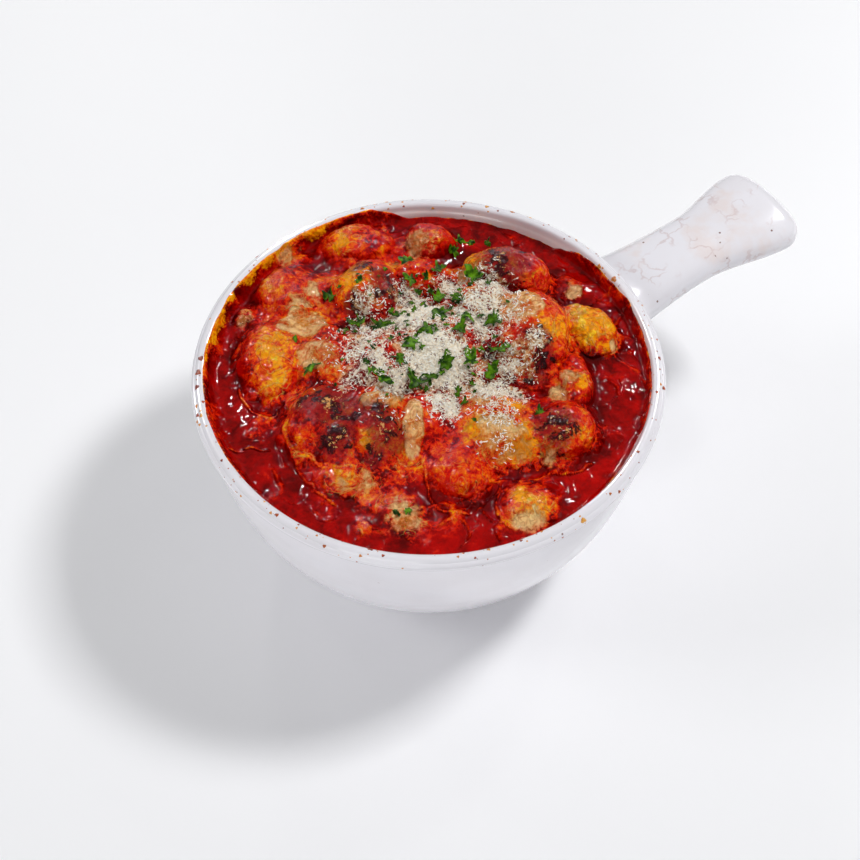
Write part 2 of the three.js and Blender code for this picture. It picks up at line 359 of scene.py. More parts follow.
glaze = Finish("cool_white_glaze", Roughness=0.16, Coat_Weight=0.35, Coat_Roughness=0.05, IOR=1.5)
split = glaze.add("ShaderNodeSeparateXYZ", {}, {0: glaze.place})
x, y, z = (Value(glaze, socket) for socket in split.socket.node.outputs)
reach = (x * x + y * y) ** 0.5
on_handle = reach.between(68.5 * MM, 74 * MM)
inside = (1 - reach.between(63.5 * MM, 64.2 * MM)) * z.between(56 * MM, 59.5 * MM)
cloud = glaze.noise(9, 3)
stir = glaze.add("ShaderNodeTexNoise", {}, {"Vector": glaze.place, "Scale": STIR_SCALE, "Detail": 3.0}, 1)
stir = glaze.add("ShaderNodeVectorMath", {"operation": "SCALE"}, {0: stir, "Scale": 0.012})
stirred = glaze.add("ShaderNodeVectorMath", {"operation": "ADD"}, {0: glaze.place, 1: stir})
crackle = glaze.add("ShaderNodeTexVoronoi", {"feature": "DISTANCE_TO_EDGE"},
                    {"Vector": stirred, "Scale": CRACKLE_SCALE})
lines = (1 - crackle.between(0.0, 0.07)) * glaze.noise(7, 2).between(0.46, 0.62) * on_handle
blush = glaze.noise(12, 4, 0.6).between(0.52, 0.72) * on_handle
colour = glaze.mix(cloud.between(0.3, 0.7) * 0.5, paint(236, 234, 240), paint(231, 227, 232))
colour = glaze.mix(blush * 0.28, colour, paint(226, 192, 172))
colour = glaze.mix(lines * 0.34, colour, paint(186, 146, 140))
# A patchy warm pink tint over the inner wall above the sauce.
pink_inner_tint = inside * (0.3 + 0.3 * glaze.noise(3, 4).between(0.45, 0.7))
colour = glaze.mix(pink_inner_tint, colour, paint(250, 226, 212))
dots = glaze.add("ShaderNodeTexVoronoi", {}, {"Vector": glaze.place, "Scale": DOT_SCALE})
rare = (glaze.noise(4, 0) + 0.1 * on_handle).between(0.6, 0.64)
speckle = (1 - dots.between(0.05, 0.075)) * rare * z.between(46 * MM, 50 * MM)
colour = glaze.mix(speckle * 0.85, colour, paint(104, 48, 24))
glaze.wear(Base_Color=colour, Roughness=0.14 + 0.1 * cloud,
           Normal=glaze.bump(glaze.noise(14, 2) + 0.15 * glaze.noise(2, 2), 0.5, 0.35))
bowl.data.materials.append(glaze.material)
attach(bowl, "root")
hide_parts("bowl")

# ---- Gnocchi: the shapes that everything else lies on -------------------------------------------
# Soft potato dumplings pushed together in the dish before it is baked, with sauce poured round them.
# For each: place of its centre, height of its top, half length, half width, half height, turn of its
# length in degrees, and how thin its coat of sauce is, from 0 for hidden to 1 for bare and golden.

GNOCCHI = {
    "left_large": (-33.9, 29.6, 67, 15, 10.8, 8.2, 56, 0.45),
    "left_back": (-16.3, 46.5, 68, 11.2, 10.4, 8.2, -34, 0.45),
    "back_left": (9.9, 53.3, 66, 12.1, 8, 8, -34, 0.4),
    "back_heap": (0.3, 33.4, 72, 10.6, 10, 7.8, -20, 0.5),
    "back": (29.1, 42.2, 65, 8.8, 7.2, 6.5, -40, 0.3),
    "back_heap_small": (16.3, 28.5, 70, 7.6, 6.6, 6, -34, 0.55),
    "back_right": (38.3, 15.9, 72, 13.6, 8.8, 9, -40, 0.4),
    "right_heap": (30.3, -7.7, 73, 15.2, 10.8, 8.4, 50, 0.5),
    "right_golden": (47.6, -13.2, 66, 10.6, 7.6, 7, -79, 1.0),
    "right_sunk": (55.4, 3.2, 59.6, 4.6, 3.4, 5, -60, 0.35),
    "right_front_small": (32, -26.6, 66, 10.6, 5.6, 6, 56, 0.45),
    "front_right_charred": (18.9, -39.2, 68, 9.8, 8.8, 7, -34, 0.25),
    "front_right": (4.1, -28.1, 70, 12.2, 10.8, 9, -34, 0.5),
    "front": (-2.2, -52.9, 62.4, 8.6, 7.2, 6.3, -28, 0.6),
    "front_red": (-13.2, -32.4, 66, 11, 9.6, 8.2, -50, 0.3),
    "front_left_cheesy": (-32.5, -32.8, 62, 8.4, 7, 6, 50, 0.4),
    "left_front_charred": (-24.2, -10.4, 70, 11.6, 9.8, 7.3, 62, 0.4),
    "left_charred": (-35.3, 1.4, 69, 11.6, 9.8, 7.3, 48, 0.25),
    "left_front_low": (-39.9, -17.4, 63, 9.8, 5.6, 7, -40, 0.35),
    "left_sunk": (-31, 48.4, 61.2, 5.2, 3.8, 5.5, -20, 0.3),
    "left_front_sunk": (-49.1, 10.5, 60.4, 5.8, 3.8, 5, -50, 0.35),
    "centre": (5.6, 4, 74, 11.6, 10.4, 8.6, -34, 0.5),
    "front_centre": (-10.8, -15.6, 69, 10, 7.6, 6.4, 56, 0.3),
    "centre_left": (-9.6, 5.5, 73, 10.4, 9.2, 7.8, -10, 0.4),
    "left_mid": (-20.9, 19.8, 69, 10, 7.6, 6.4, 56, 0.45),
    "centre_right": (22.7, 6.8, 73, 8.4, 7.4, 6, 20, 0.5),
    "back_left_sunk": (-8.3, 58.2, 61.4, 5.6, 3.6, 5, -34, 0.6),
}
PLACES = np.array(list(GNOCCHI.values()))
CENTRES = np.stack([PLACES[:, 0], PLACES[:, 1], PLACES[:, 2] - PLACES[:, 5]], -1)
HALVES = PLACES[:, 3:6]
TURNS = np.radians(PLACES[:, 6])

SAUCE_LEVEL = 58.8
SAUCE_MOUND = 5.5
SAUCE_MOUND_RADIUS = 50
CAP_SOFTNESS = 1.8
CAP_SINK = 0.5
RIDGE_WIDTH = 0.09


def into_gnocco(points, i):
    """Points as seen from gnocco i: centred, turned to its length and divided by its half sizes."""
    moved = points - CENTRES[i]
    c, s = np.cos(TURNS[i]), np.sin(TURNS[i])
    turned = np.stack([moved[..., 0] * c + moved[..., 1] * s, moved[..., 1] * c - moved[..., 0] * s,
                       moved[..., 2]], -1)
    return turned, turned / HALVES[i]


def ridges(points, size, seed):
    """Thin winding ridges, 1 on their crest: where smooth noise of that size passes through zero,
    faded out in places by slower noise."""
    crest = np.exp(-(wobble(points, size, seed) / RIDGE_WIDTH) ** 2)
    return crest * ease(1.6 * wobble(points, 1.7 * size, seed + 1) + 0.45)


def bare_sauce(x, y):
    """Height of the sauce with no gnocchi in it: level at the wall, a mound in the middle, slow swells
    with finer pulp on them, and the thin folds of its skin."""
    flat = np.stack([x, y], -1)
    mound = SAUCE_MOUND * ease(1 - np.hypot(x, y) / SAUCE_MOUND_RADIUS)
    swells = 0.5 * wobble(flat, 10, 1) + 0.35 * wobble(flat, 4.2, 2) + 0.16 * wobble(flat, 1.8, 3)
    return SAUCE_LEVEL + mound + swells + 0.4 * ridges(flat, 8, 14) + 0.3 * ridges(flat, 5, 16)


def dish(x, y):
    """Height of the sauce and how thinly it coats what is under it. The height is the soft maximum of
    the bare sauce and of one cap for each gnocco, which falls from its top with the square of the
    distance, gently in the heap and steeply at the wall. The coat is the mean of the gnocchi's own,
    weighted by each one's share of that maximum, and a little more. It fades to a thick coat where
    the dish is barely above the bare sauce: sauce gathered in the creases, and painted shade there."""
    bare = bare_sauce(x, y)
    total = np.ones_like(bare)
    coat = np.zeros_like(bare)
    for (cx, cy, top, half_length, half_width, half_height, _, own), turn in zip(PLACES, TURNS):
        c, s = np.cos(turn), np.sin(turn)
        along = ((x - cx) * c + (y - cy) * s) / half_length
        across = ((y - cy) * c - (x - cx) * s) / half_width
        far = np.hypot(cx, cy)
        above = top - SAUCE_LEVEL - SAUCE_MOUND * ease(1 - far / SAUCE_MOUND_RADIUS)
        steepness = min(0.5 + 0.5 * ease((far - 18) / 20), max(above / half_height, 0.25))
        cap = top - CAP_SINK - steepness * half_height * (along ** 2 + across ** 2)
        share = np.exp(np.clip((cap - bare) / CAP_SOFTNESS, -30, 30))
        total += share
        coat += share * own
    height = bare + CAP_SOFTNESS * np.log(total)
    # The fade near the bare sauce keeps the creases deep red: partly gathered sauce, partly painted shade.
    return height, (coat / total + 0.12) * ease((height - bare) / 3.2)


# ---- Tomato sauce --------------------------------------------------------------------------------
# Thick sauce poured round the gnocchi, baked to a wet crust with cheese in it. It wets the wall just
# above its level and higher at the right, and at the back left it has bubbled up to the lip and left
# an oily yellow edge.

# What baking did, as (x, y, radius, strength if not full) on the top of the dish: browned cheese, pale
# melted cheese, char and the dusting of grated cheese.
BAKED = {
    "gold": [(-34, 28, 6.5), (-40, 20, 5), (-23, 33, 3), (-2, 37, 5), (14, 39, 3.5), (47, -14, 9),
             (-30, -15, 3), (-16, -7, 3), (22, -16, 4), (33, -12, 3.5), (31, 24, 4.5), (-3, -17, 4),
             (10, -27, 5.5), (-3, -28, 4.5), (7, -38, 4.5), (-41, -19, 5), (-3, -49, 4), (8, 54, 4.5),
             (32, -31, 2.5), (21, 55, 3), (2, -39, 3), (-9, 61, 4), (-3, -55, 7), (-38, -27, 5, 0.8),
             (-44, -34, 4, 0.6), (-28, -42, 5, 0.6), (-36, -44, 4, 0.7), (-48, -25, 5, 0.45),
             (-23, -46, 4, 0.4), (-16, -44, 4, 0.35), (-14, -56, 4, 0.3), (-52, -8, 5, 0.4),
             (-54, 8, 4, 0.5), (-50, 24, 3, 0.5), (-44, 40, 4, 0.5), (-26, -26, 4, 0.5),
             (-45, -5, 4, 0.4), (-11, -40, 5, 0.5), (12, -48, 4, 0.4), (24, -46, 4, 0.3),
             (36, -14, 3, 0.4), (-36, 12, 5, 0.6), (-47, 14, 4, 0.5)],
    "pale": [(-20, 38, 4.3), (-24, 18, 5), (25, 42, 4.2), (-18, -18, 3), (30, 0, 5.5), (3, -33, 4),
             (4, -38, 4), (-34, -38, 5.5), (-6, -58, 4.5), (-10, 61, 3), (-37, -23, 4, 0.7),
             (-13, 41, 2.6), (54, 2, 2.6), (29, 21, 3.6), (-17, -6, 3.6), (4, -20, 4), (25, -29, 2.8),
             (50, -22, 1.6), (-42, -20, 2.6), (30, -27, 2.8), (10, -43, 2.4), (-34, 48, 2.8)],
    "char": [(-32, 1, 8), (-36, -8, 5), (4, 28, 6), (-25, -16, 6), (37, 15, 8), (26, -15, 6),
             (-24, -9, 5), (16, -40, 6), (23, -20, 4), (1, 38, 3), (-7, 29, 3), (15, -7, 4), (-30, -5, 5),
             (-31, -19, 3), (0, -8, 4), (-38, 6, 4, 0.7)],
    "snow": [(1, -3, 11), (5, 13, 10, 0.8), (19, 3, 9, 0.68), (29, 9, 7, 0.58), (8, -18, 7, 0.6),
             (-5, -16, 6, 0.8), (8, 22, 7, 0.6), (-9, 21, 6, 0.5), (-17, 8, 6, 0.5), (18, -14, 8, 0.5),
             (-13, -3, 7, 0.7), (30, 14, 5, 0.6), (21, 20, 6, 0.6), (-22, 6, 5, 0.5), (27, -14, 5, 0.45),
             (13, -22, 5, 0.6), (-4, 27, 5, 0.5), (4, -28, 7, 0.4), (0, -35, 5, 0.3), (3, 2, 21, 0.42),
             (24, -3, 9, 0.4), (-12, 12, 11, 0.5), (-15, 4, 7, 0.7)],
}


def baked(kind, x, y):
    """How strongly a kind of baking shows at each place, from 0 to 1: the strongest of its round spots,
    each falling off as a bell from its middle, with their outlines made ragged by noise."""
    flat = np.stack([x, y], -1)
    ragged = flat + 1.1 * np.stack([wobble(flat, 3, 5), wobble(flat, 3, 6)], -1)
    ragged = ragged + 0.4 * np.stack([wobble(flat, 1.1, 7), wobble(flat, 1.1, 8)], -1)
    strength = np.zeros(np.shape(x))
    for cx, cy, radius, *part in BAKED[kind]:
        far = ((ragged[..., 0] - cx) ** 2 + (ragged[..., 1] - cy) ** 2) / radius ** 2
        strength = np.maximum(strength, np.exp(-far ** 1.2) * (part[0] if part else 1))
    return strength


def points_of(piece):
    """A mesh's points in millimetres."""
    flat = np.empty(len(piece.data.vertices) * 3)
    piece.data.vertices.foreach_get("co", flat)
    return flat.reshape(-1, 3) / MM


MAP_CELL = 0.5
MAP_HALF = 68
MEAN_ROUNDS = 40
CRUST_ROUNDS = 70
CRUST_SINK = 0.2


def softened(heights, rounds):
    """The map averaged with its neighbours a number of times."""
    count = len(heights)
    for _ in range(rounds):
        padded = np.pad(heights, 1, mode="edge")
        heights = np.mean([padded[i:i + count, j:j + count] for i in range(3) for j in range(3)], 0)
    return heights


def look_up(heights, x, y):
    """Height at each place, blended between the four nearest cells."""
    u = np.clip((x + MAP_HALF) / MAP_CELL - 0.5, 0, len(heights) - 2)
    v = np.clip((y + MAP_HALF) / MAP_CELL - 0.5, 0, len(heights) - 2)
    i, j = u.astype(int), v.astype(int)
    a, b = u - i, v - j
    return (heights[i, j] * (1 - a) * (1 - b) + heights[i + 1, j] * a * (1 - b)
            + heights[i, j + 1] * (1 - a) * b + heights[i + 1, j + 1] * a * b)


# Maps of the dish's top: its mean height, and the crust that drapes over the gnocchi and between them.
middles = np.arange(-MAP_HALF, MAP_HALF, MAP_CELL) + MAP_CELL / 2
map_x, map_y = np.meshgrid(middles, middles, indexing="ij")
rough = dish(map_x, map_y)[0]
for i, (half, centre) in enumerate(zip(HALVES, CENTRES)):
    across = into_gnocco(np.stack([map_x, map_y, np.full_like(map_x, centre[2])], -1), i)[1]
    within = 1 - (across ** 2).sum(-1)
    upper = centre[2] + half[2] * np.sqrt(np.clip(within, 0, 1))
    rough = np.where(within > 0, np.maximum(rough, upper), rough)
mean_height = softened(rough, MEAN_ROUNDS)
crust_height = softened(rough, CRUST_ROUNDS) - CRUST_SINK

# Folds of the skin on the sauce, pushed up at the feet of the gnocchi as the dish bubbled.
FOLDS = [
    [(-47.6, 26.1), (-48.9, 22.6), (-48.9, 18.2), (-48.0, 14.2), (-45.6, 11.6), (-43.1, 13.0)],
    [(-61.0, 9.4), (-58.8, 7.0), (-55.8, 6.6), (-52.0, 3.0)],
    [(-44.2, 6.4), (-46.6, 1.9), (-46.5, -3.3), (-44.2, -8.5), (-41.2, -13.0), (-37.3, -17.3),
     (-32.4, -21.3), (-26.8, -25.5), (-21.7, -27.7)],
    [(-46.4, -0.4), (-48.5, -6.0), (-49.0, -9.9), (-48.4, -16.9), (-47.0, -22.0)],
    [(-44.0, -6.0), (-43.0, -12.0), (-38.0, -19.5), (-31.0, -25.0)],
    [(-7.7, -41.8), (-2.8, -43.0), (1.6, -46.7), (7.6, -47.9), (15.0, -51.0), (20.0, -51.5)],
    [(-4.9, -44.9), (-9.6, -47.3), (-11.9, -51.7), (-11.0, -56.0)],
    [(-20.2, -27.4), (-22.5, -32.3), (-24.6, -38.3), (-22.9, -42.1), (-18.0, -46.0)],
    [(39.7, -15.0), (35.7, -18.7), (32.4, -20.7), (27.4, -21.5), (24.0, -27.8)],
]
fold_lines = [curve_through(fold, 5) for fold in FOLDS]
FOLD_STARTS = np.concatenate([line[:-1] for line in fold_lines])
FOLD_ENDS = np.concatenate([line[1:] for line in fold_lines])
FOLD_WIDTH = 0.38
FOLD_HEIGHT = 0.4


def folded(x, y):
    """1 on a fold, falling off as a bell of the distance to the nearest of its short straight steps."""
    here = np.stack([x, y], -1)
    here = here + 0.5 * np.stack([wobble(here, 2.4, 30), wobble(here, 2.4, 31)], -1)
    nearest = np.full(np.shape(x), 1e3)
    for start, end in zip(FOLD_STARTS, FOLD_ENDS):
        step = end - start
        share = np.clip(((here - start) @ step) / (step @ step), 0, 1)
        nearest = np.minimum(nearest, ((here - start - share[..., None] * step) ** 2).sum(-1))
    return np.exp(-nearest / FOLD_WIDTH ** 2) * ease(0.9 + wobble(here, 6, 32))


def food_finish(name):
    """The finish of everything that was baked. Where the coat of sauce is thick it is deep red; as it
    thins and browns it turns orange, then gold. The red is painted lighter where the surface stands
    out and darker in its creases, as painted light and shade. Over that lie, each with ragged edges
    and in this order: threads and finer strings of cheese, pale cheese, scorch, char and crumbs, what
    melted under the grated cheese, its dust, and oil. The surface is wet and dimpled, most where the
    food is busy."""
    finish = Finish(name, Specular_IOR_Level=0.15)
    broad = finish.noise(6, 3, 0.6, 0.6) - 0.5
    middle = finish.noise(2.2, 4, 0.65, 0.8) - 0.5
    fine = finish.noise(0.7, 3, 0.7, 0.5) - 0.5
    thin, gold, pale, char, snow, oil, crest = (
        finish.painted(mask) for mask in ("thin", "gold", "pale", "char", "snow", "oil", "crest"))
    busy = (thin * 1.2 + gold + pale + char + broad * 0.8).between(0.0, 0.7) * 0.8 + 0.2
    # Where the surface stands out the browning rises a little. The red is painted lighter there and darker
    # in the creases: painted light and shade.
    browning = thin * 0.5 + gold * 0.5 + pale * 0.3 + crest * 0.09 + broad * 0.5 + busy * (
        broad * 0.8 + middle * 1.9 + fine * 1.3)
    red = broad * 1.5 + middle * 0.9 + fine * busy * 1.4 + crest * 0.35
    colour = finish.mix(red.between(-0.45, 0.4), paint(90, 0, 0), paint(184, 4, 1))
    for low, high, browner in ((0.12, 0.3, paint(214, 30, 3)), (0.36, 0.54, paint(232, 82, 5)),
                               (0.62, 0.84, paint(252, 156, 2)), (1.1, 1.35, paint(255, 204, 40))):
        colour = finish.mix(browning.between(low, high), colour, browner)
    wander = finish.noise(5, 2, 0.5, 1.6) - 0.5
    threads = (1 - (wander * wander) ** 0.5 / 0.03).between(0.0, 1.0) * (
        gold * 0.8 + pale + thin * 0.5 + broad + crest * 0.1).between(0.3, 0.75)
    colour = finish.mix(threads * 0.6, colour, paint(252, 188, 84))
    stray = finish.noise(2.6, 2, 0.5, 2.0) - 0.5
    strings = (1 - (stray * stray) ** 0.5 / 0.035).between(0.0, 1.0) * (
        gold * 0.6 + pale * 1.2 + thin * 0.5 + char * 0.5 + broad * 1.6).between(0.5, 1.0)
    colour = finish.mix(strings * 0.5, colour, paint(252, 160, 40))
    beige = (pale + broad * 1.5 + middle * 0.8 + fine * 0.3).between(0.28, 0.85) * pale.between(0.05, 0.35)
    cheese = finish.mix((broad * 2.0 + middle + fine).between(-0.35, 0.35),
                        paint(206, 112, 30), paint(240, 200, 138))
    colour = finish.mix(beige * 0.88, colour, cheese)
    scorch = (char + middle * 1.4).between(0.15, 0.7)
    colour = finish.mix(scorch * 0.75, colour, paint(134, 20, 22))
    patches = finish.noise(3.4, 3, 0.6, 0.8) - 0.5
    burnt = (char * 0.66 + patches * 3.0 + fine * 1.2).between(0.5, 0.72) * char.between(0.06, 0.3)
    black = finish.mix((fine + patches).between(-0.1, 0.2), paint(84, 14, 22), paint(20, 2, 4))
    colour = finish.mix(burnt * 0.95, colour, black)
    crumbs = (char * 0.6 - middle * 2.2 + fine * 2.4).between(0.88, 1.02) * char.between(0.15, 0.4)
    colour = finish.mix(crumbs, colour, paint(224, 158, 92))
    melted = (snow * 1.2 + middle * 2.0 + broad * 1.5).between(0.3, 0.65) * snow.between(0.15, 0.4)
    toasted = finish.mix((fine * 1.5 + middle * 2.0).between(-0.25, 0.2),
                         paint(110, 36, 20), paint(226, 176, 118))
    colour = finish.mix(melted * 0.85, colour, toasted)
    dusted = (snow * 1.05 + fine * 1.8 + middle * 0.7).between(0.42, 0.7) * snow.between(0.05, 0.3)
    colour = finish.mix(dusted * 0.92, colour, paint(255, 244, 224))
    oily = (oil + fine * 0.9 + middle * 0.8).between(0.35, 0.7) * oil.between(0.05, 0.3)
    oil_colour = finish.mix((fine + middle).between(-0.2, 0.2), paint(232, 96, 0), paint(255, 178, 8))
    colour = finish.mix(oily, colour, oil_colour)
    dimples = (finish.noise(2.6, 1.0, 0.35, 0.8) + 0.26 * finish.noise(1.0, 1) * busy * busy) * busy
    dimples = dimples * (1 - 0.55 * beige)
    dimples = dimples + 0.12 * threads + 0.1 * strings + 0.12 * burnt + 0.1 * dusted
    finish.wear(Base_Color=colour, Roughness=0.08 + 0.08 * beige + 0.1 * burnt + 0.35 * dusted,
                Normal=finish.bump(dimples, 2.2, 1.0))
    return finish.material


def standing_out(x, y, z):
    """How far points stand above the mean height of the dish there, at most 3 mm either way."""
    return np.clip(z - look_up(mean_height, x, y), -3, 3)


def store(piece, name, values):
    """Keeps one number for each vertex on the mesh, for its finish to read."""
    mask = piece.data.attributes.new(name, "FLOAT", "POINT")
    mask.data.foreach_set("value", values.astype(np.float32))


def dress(piece, clear=1.0, **changes):
    """Stores the baking masks of a piece: each mask at the place of the vertex, strongest where the
    piece is clear of the sauce, and how far the vertex stands out, which the finish turns into painted
    light and shade. A piece may bring masks of its own in place of these."""
    x, y, z = points_of(piece).T
    masks = {kind: baked(kind, x, y) * (1.0 if kind == "char" else clear) for kind in BAKED}
    masks["thin"] = dish(x, y)[1]
    masks["crest"] = standing_out(x, y, z)
    masks["oil"] = np.zeros(len(x))
    masks.update(changes)
    for name, values in masks.items():
        store(piece, name, values)


SAUCE_RINGS = 148
SAUCE_STEPS = 600
INTO_WALL = 0.3
WALL_WETTING = 0.9
BUBBLE_CLIMB = 4.1
BUBBLE_ANGLE = np.radians(125)
RIGHT_CLIMB = 3.1
RIGHT_ANGLE = np.radians(-20)
OIL_ANGLE = np.radians(113)
UNDER_HEIGHTS = [57, 52, 44, 34, 24, 15, 10, 7]

sauce_angles = full_turn(SAUCE_STEPS)
around = np.stack([np.cos(sauce_angles), np.sin(sauce_angles)], -1)
bubbled = ease((np.cos(sauce_angles - BUBBLE_ANGLE) - 0.42) / 0.2)
ragged_edge = 0.6 * wobble(around * 12, 1.0, 11) + 0.4 * wobble(around * 30, 1.0, 12)
right_side = ease((np.cos(sauce_angles - RIGHT_ANGLE) - 0.75) / 0.15)
climb = (WALL_WETTING + 0.7 * ragged_edge + bubbled * (BUBBLE_CLIMB - 0.4 * ragged_edge)
         + right_side * RIGHT_CLIMB)
wall_inside = np.concatenate([LIP[-3:], INNER_WALL])
wall_inside = wall_inside[np.argsort(wall_inside[:, 1])]


def wall_radius(height):
    """Radius of the bowl's inner wall at a height."""
    return np.interp(height, wall_inside[:, 1], wall_inside[:, 0])


edge_height = SAUCE_LEVEL + climb
outward = 1 - (1 - np.linspace(0.01, 1, SAUCE_RINGS)[:, None]) ** 1.25
radius = outward * (wall_radius(edge_height) + INTO_WALL)[None]
sauce_x, sauce_y = radius * around[:, 0], radius * around[:, 1]
from_wall = (wall_radius(edge_height) + INTO_WALL)[None] - radius
film = np.interp(radius + 0.4, wall_inside[:, 0], wall_inside[:, 1]) - SAUCE_LEVEL
rise = np.maximum(climb * np.exp(-np.clip(from_wall - 0.8, 0, None) / (0.6 + 0.8 * bubbled)),
                  np.minimum(climb, film))
at_wall = ease(1 - from_wall / 3.5)
sauce_flat = np.stack([sauce_x, sauce_y], -1)
bare = bare_sauce(sauce_x, sauce_y)
pulp = 0.5 * wobble(sauce_flat, 3.2, 20) + 0.3 * wobble(sauce_flat, 1.4, 21)
crust = look_up(crust_height, sauce_x, sauce_y) + pulp
crust = bare + (crust - bare) * ease((crust - bare) / 2.5) * (1 - ease((sauce_x - 28) / 8))
sauce_z = np.maximum(dish(sauce_x, sauce_y)[0], crust) * (1 - at_wall) + SAUCE_LEVEL * at_wall
sauce_z = np.maximum(sauce_z, SAUCE_LEVEL + rise) + FOLD_HEIGHT * folded(sauce_x, sauce_y)
top_rows = np.stack([sauce_x, sauce_y, sauce_z], -1)
under_rows = np.stack([
    np.concatenate([around * (wall_radius(height) + INTO_WALL), np.full((SAUCE_STEPS, 1), height)], -1)
    for height in UNDER_HEIGHTS])
floor_row = np.concatenate([around * 20, np.full((SAUCE_STEPS, 1), 5.8)], -1)[None]
sauce = put_mesh("tomato_sauce_fill", *skin(np.concatenate([top_rows, under_rows, floor_row]), flip=True))
x, y, z = points_of(sauce).T
flat = np.stack([x, y], -1)
angle = np.arctan2(y, x)
near_wall = np.clip(wall_radius(z) + INTO_WALL - np.hypot(x, y), 0, None)
edge_above = np.interp(angle % (2 * np.pi), sauce_angles, edge_height) - z
below_edge = np.clip(edge_above, 0, None) + near_wall
yellowed = ease((np.cos(angle - OIL_ANGLE) - 0.80) / 0.15)
smear = 0.5 + 0.8 * wobble(flat, 3.5, 13)
oily_line = 0.8 * np.exp(-(below_edge / 0.7) ** 2) * (0.4 + 0.6 * smear)
oily_band = yellowed * np.exp(-(below_edge / 3.6) ** 2) * (0.4 + smear)
stretched = np.maximum(dish(x, y)[1], 0.5 * ease((z - bare_sauce(x, y)) / 5))
creased = 0.3 * ridges(flat, 8, 14) + 0.2 * ridges(flat, 5, 16) + 0.6 * folded(x, y)
# How far the sauce stands out, faded near the wall, becomes the painted light and shade of its finish.
dress(sauce, ease((z - 58.2) / 1.8),
      crest=standing_out(x, y, z) * ease((near_wall - 1) / 4),
      thin=stretched + creased, oil=np.clip(oily_line + oily_band, 0, 1))
baked_dish = food_finish("baked_sauce_and_cheese")
sauce.data.materials.append(baked_dish)
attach(sauce, "root")
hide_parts("tomato_sauce")

# ---- Gnocchi -----------------------------------------------------------------------------------
# Each is an uneven oval, dented and puffed by baking. Where two touch, or one meets the sauce, the
# coat of sauce and cheese fills the crease between them.

GNOCCO_ROWS = 76
GNOCCO_STEPS = 132
CREASE_SOFTNESS = 1.3
MOST_PUSH = 1.9

t = np.linspace(0.012, 0.985, GNOCCO_ROWS)
from_top = np.pi * t ** 1.25
spin = full_turn(GNOCCO_STEPS)
ways = np.stack([np.sin(from_top)[:, None] * np.cos(spin), np.sin(from_top)[:, None] * np.sin(spin),
                 np.broadcast_to(np.cos(from_top)[:, None], (GNOCCO_ROWS, GNOCCO_STEPS))], -1)


def gnocco_rows(i):
    """Rows of points of gnocco i: its oval scaled by slow lumps, then pushed out from its centre, by
    MOST_PUSH at most, to the blended skin of all the gnocchi, which is minus the softness times the log
    of the sum of exp(-distance / softness), and on by bumps of three sizes and a few ridges."""
    seed = i + 1
    lump = 1 + 0.045 * np.sin(2.3 * ways[..., 0] + 1.7 * seed) \
        + 0.04 * np.sin(3.1 * ways[..., 1] + 2.9 * seed) * np.cos(2 * ways[..., 0] + seed)
    local = ways * HALVES[i] * lump[..., None]
    c, s = np.cos(TURNS[i]), np.sin(TURNS[i])
    points = np.stack([local[..., 0] * c - local[..., 1] * s, local[..., 0] * s + local[..., 1] * c,
                       local[..., 2]], -1) + CENTRES[i]
    outward = points - CENTRES[i]
    outward /= np.linalg.norm(outward, axis=-1, keepdims=True)
    crowd = np.zeros(points.shape[:2])
    for j in range(len(CENTRES)):
        if j != i and np.linalg.norm(CENTRES[j] - CENTRES[i]) < HALVES[i].max() + HALVES[j].max() + 3:
            turned, scaled = into_gnocco(points, j)
            size = np.linalg.norm(scaled, axis=-1)
            gap = np.linalg.norm(turned, axis=-1) * (1 - 1 / np.maximum(size, 0.05))
            crowd += np.exp(-np.clip(gap, -2, 12) / CREASE_SOFTNESS)
    push = CREASE_SOFTNESS * np.log1p(crowd)
    bumps = 0.75 * wobble(points, 7, seed) + 0.45 * wobble(points, 3, seed + 40) \
        + 0.2 * wobble(points, 1.25, seed + 80) + 0.35 * ridges(points, 5, seed + 120)
    return points + outward * (np.minimum(push, MOST_PUSH) + bumps)[..., None]


gnocchi = []
for i, name in enumerate(GNOCCHI):
    piece = put_mesh("gnocco_" + name + "_baked", *skin(gnocco_rows(i), flip=True))
    x, y, z = points_of(piece).T
    dress(piece, ease((z - dish(x, y)[0] + 1.0) / 2.0))
    piece.data.materials.append(baked_dish)
    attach(piece, "root")
    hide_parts("gnocco_" + name)
    gnocchi.append(piece)

# ---- Melted cheese -------------------------------------------------------------------------------
# Soft cheese that melted into smooth beige puddles over the gnocchi and set with thin edges. For each:
# place of its centre, half length, half width and turn in degrees. It drapes over what is under it.

EMPTY_BELOW = 50


def height_map(pieces):
    """Highest point of the pieces in each square cell. Empty cells take the highest neighbour."""
    count = int(2 * MAP_HALF / MAP_CELL)
    heights = np.zeros((count, count))
    for piece in pieces:
        p = points_of(piece)
        cells = np.clip(((p[:, :2] + MAP_HALF) / MAP_CELL).astype(int), 0, count - 1)
        np.maximum.at(heights, (cells[:, 0], cells[:, 1]), p[:, 2])
    for _ in range(3):
        padded = np.pad(heights, 1, mode="edge")
        near = np.max([padded[i:i + count, j:j + count] for i in range(3) for j in range(3)], 0)
        heights = np.where(heights < EMPTY_BELOW, near, heights)
    return heights


ground = height_map([sauce, *gnocchi])
draped = softened(ground, 10)

CHEESE = {
    "left": (-22.5, 33.4, 8.2, 6.6, -44),
    "left_low": (-24.8, 18.4, 6.6, 8.0, 10),
    "front_strip": (-17.6, -18.2, 9.6, 3.2, 56),
    "right": (29.5, -1.1, 8.4, 7, -34),
    "front_right": (0.2, -35, 9.8, 6.6, -34),
    "mid": (-20.6, -5.6, 5.6, 3.6, -34),
}

PUDDLE_STEPS = 128
PUDDLE_RINGS = 52
PUDDLE_REACH = 1.3
PUDDLE_LIFT = 0.3
PUDDLE_DEPTH = 1.8

